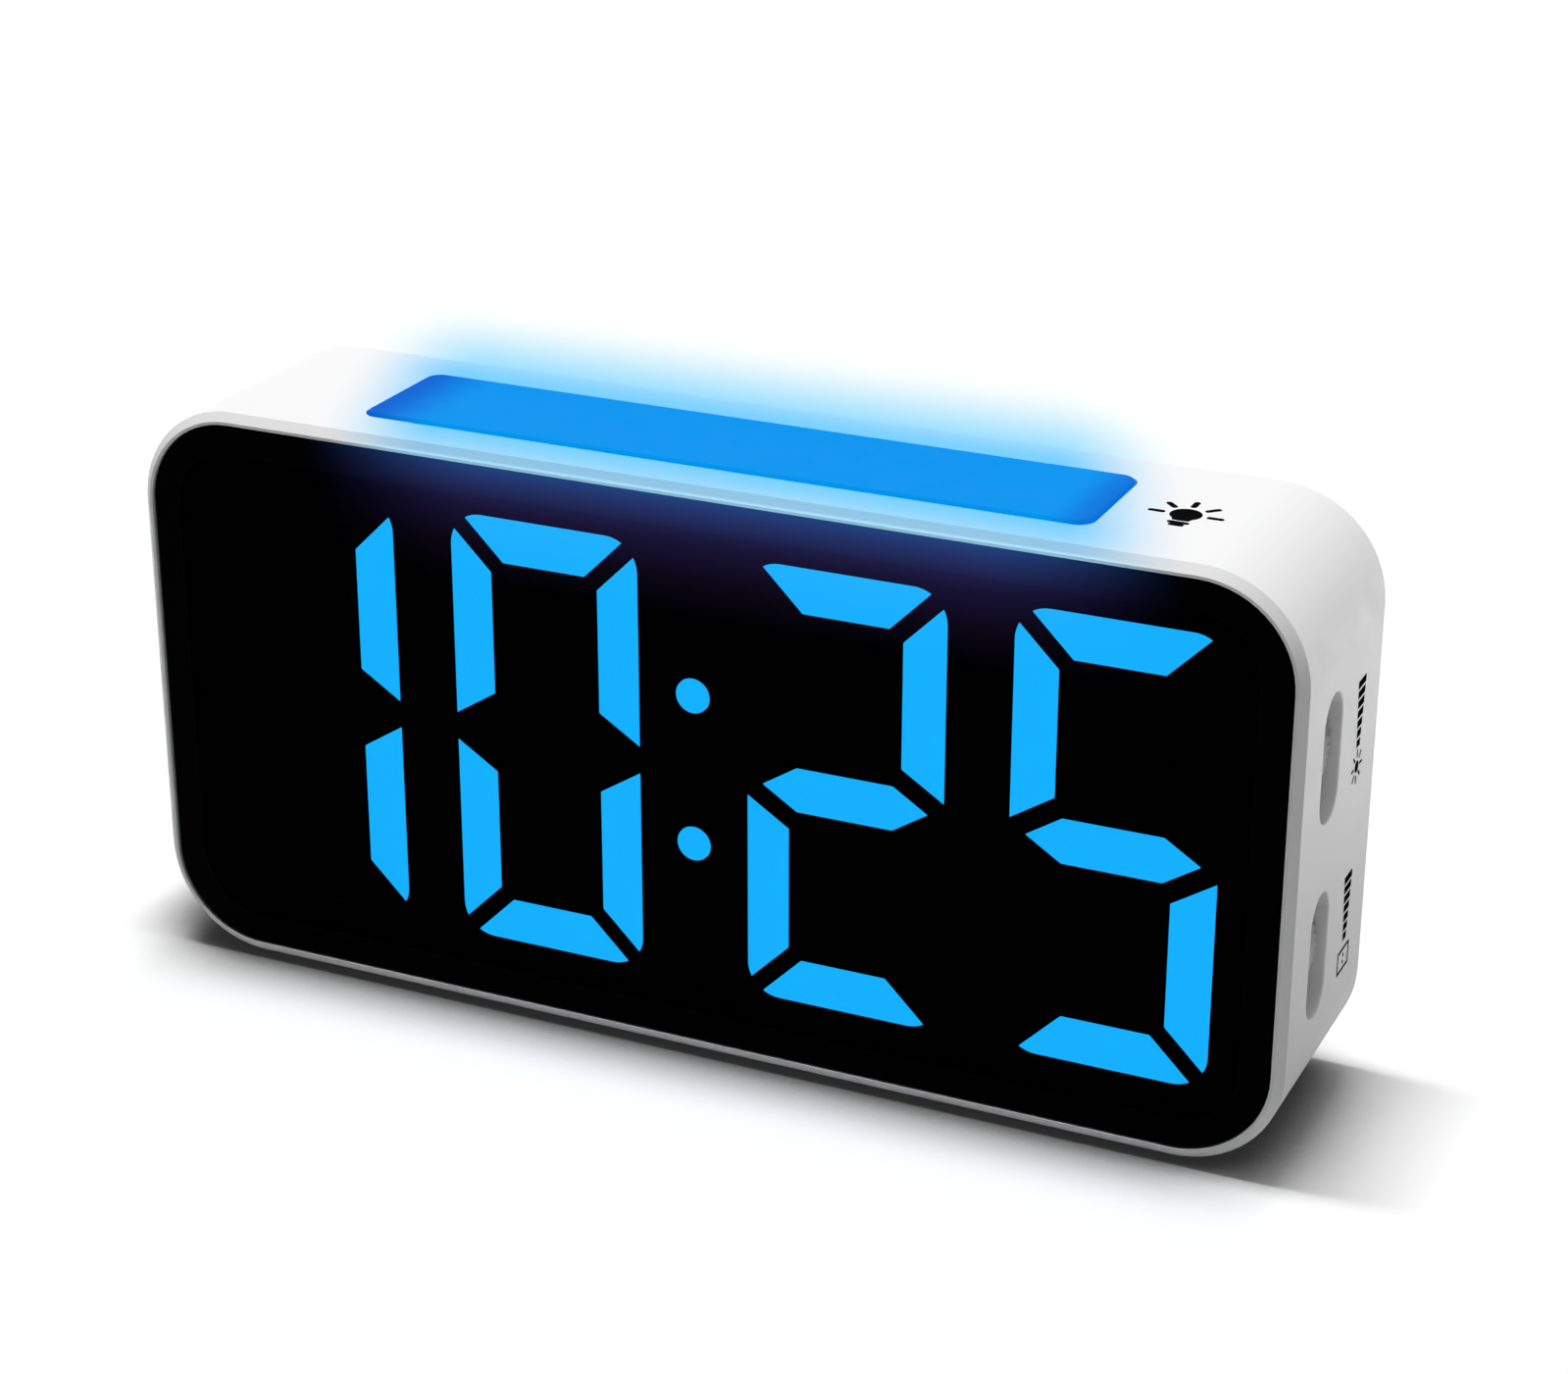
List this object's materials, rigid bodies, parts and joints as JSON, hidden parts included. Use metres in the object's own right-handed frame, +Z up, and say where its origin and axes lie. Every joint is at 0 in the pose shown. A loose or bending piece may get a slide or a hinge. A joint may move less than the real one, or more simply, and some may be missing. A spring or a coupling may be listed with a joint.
{
  "type": "digital alarm clock",
  "caption": "Rounded white table clock with a smoked full-face display of large blue digits, a glowing light bar on top, thumbwheel dimmers in its side and a sunken control strip at the back.",
  "frame": {"origin": "on the table surface under the middle of the case: the bottom of the feet, half-way across the width and the depth", "axes": "+X to the right of someone facing the display, +Y from the display to the back, +Z up"},
  "size_m": [0.16, 0.0336, 0.0794],
  "materials": {
    "white_shell": "satin moulded",
    "smoked_lens": "smoked, polished",
    "display_black": "matt",
    "lit_blue": "milky, lit",
    "unlit_segment": "milky, dark",
    "bar_blue": "milky, lit",
    "board_green": "solder mask",
    "steel": "plated",
    "brass": "plated",
    "led_white": "clear resin",
    "black_plastic": "moulded",
    "capacitor_sleeve": "shrunk sleeve",
    "plunger_white": "moulded",
    "button_grey": "satin moulded",
    "wheel_grey": "satin moulded",
    "cable_white": "smooth",
    "tape_black": "foam",
    "foot_rubber": "matt"
  },
  "bodies": {
    "root": {"main_case": "white_shell", "front_lens": "smoked_lens", "lens_adhesive": "tape_black", "display_reflector": "display_black", "lit_segments": "lit_blue", "unlit_segments": "unlit_segment", "colon_dots": "lit_blue", "display_board": "board_green", "segment_leds": "led_white", "display_screws": "steel", "bar_switch_bases": "black_plastic", "light_board": "board_green", "light_lamps": "led_white", "light_board_screws": "steel", "light_board_cable": "cable_white", "cable_plug": "cable_white", "dimmer_pots": "black_plastic", "control_board": "board_green", "control_board_screws": "steel", "clock_chip": "black_plastic", "timing_crystal": "steel", "supply_capacitors": "capacitor_sleeve", "link_socket": "black_plastic", "link_pins": "black_plastic", "rear_switch_bases": "black_plastic", "alarm_switch_base": "black_plastic", "power_jack": "black_plastic", "power_jack_pin": "brass", "buzzer": "black_plastic", "cell_holder": "black_plastic", "backup_cell": "steel", "cell_contacts": "brass", "rear_cover": "white_shell", "cover_screws": "steel", "rubber_feet": "foot_rubber"},
    "light_bar": {"light_bar": "bar_blue", "bar_plungers": "plunger_white"},
    "light_dimmer": {"light_dimmer_wheel": "wheel_grey", "light_dimmer_shaft": "steel"},
    "screen_dimmer": {"screen_dimmer_wheel": "wheel_grey", "screen_dimmer_shaft": "steel"},
    "time_button": {"time_button": "button_grey", "time_plunger": "plunger_white"},
    "alarm_button": {"alarm_button": "button_grey", "alarm_plunger": "plunger_white"},
    "hour_button": {"hour_button": "button_grey", "hour_plunger": "plunger_white"},
    "minute_button": {"minute_button": "button_grey", "minute_plunger": "plunger_white"},
    "volume_button": {"volume_button": "button_grey", "volume_plunger": "plunger_white"},
    "alarm_slider": {"alarm_slider": "button_grey", "alarm_switch_lever": "black_plastic"},
    "cell_door": {"cell_door": "white_shell"}
  },
  "joints": [
    {"name": "light_bar_press", "type": "slide", "parent": "root", "child": "light_bar", "axis": [0, 0, -1], "range_m": [0, 0.0008], "stiffness_N_per_m": 500, "springref_m": -0.0015},
    {"name": "light_dimmer_turn", "type": "hinge", "parent": "root", "child": "light_dimmer", "pos_m": [0.069, -0.0044, 0.0525], "axis": [0, 1, 0], "range_deg": [-135, 135]},
    {"name": "screen_dimmer_turn", "type": "hinge", "parent": "root", "child": "screen_dimmer", "pos_m": [0.069, -0.0044, 0.02605], "axis": [0, 1, 0], "range_deg": [-135, 135]},
    {"name": "time_press", "type": "slide", "parent": "root", "child": "time_button", "axis": [0, -1, 0], "range_m": [0, 0.0008], "stiffness_N_per_m": 300, "springref_m": -0.002},
    {"name": "alarm_press", "type": "slide", "parent": "root", "child": "alarm_button", "axis": [0, -1, 0], "range_m": [0, 0.0008], "stiffness_N_per_m": 300, "springref_m": -0.002},
    {"name": "hour_press", "type": "slide", "parent": "root", "child": "hour_button", "axis": [0, -1, 0], "range_m": [0, 0.0008], "stiffness_N_per_m": 300, "springref_m": -0.002},
    {"name": "minute_press", "type": "slide", "parent": "root", "child": "minute_button", "axis": [0, -1, 0], "range_m": [0, 0.0008], "stiffness_N_per_m": 300, "springref_m": -0.002},
    {"name": "volume_press", "type": "slide", "parent": "root", "child": "volume_button", "axis": [0, -1, 0], "range_m": [0, 0.0008], "stiffness_N_per_m": 300, "springref_m": -0.002},
    {"name": "alarm_slide", "type": "slide", "parent": "root", "child": "alarm_slider", "axis": [1, 0, 0], "range_m": [0, 0.003]},
    {"name": "cell_door_twist", "type": "hinge", "parent": "root", "child": "cell_door", "pos_m": [0.02496, 0.0158, 0.02729], "axis": [0, 1, 0], "range_deg": [0, 50]}
  ]
}
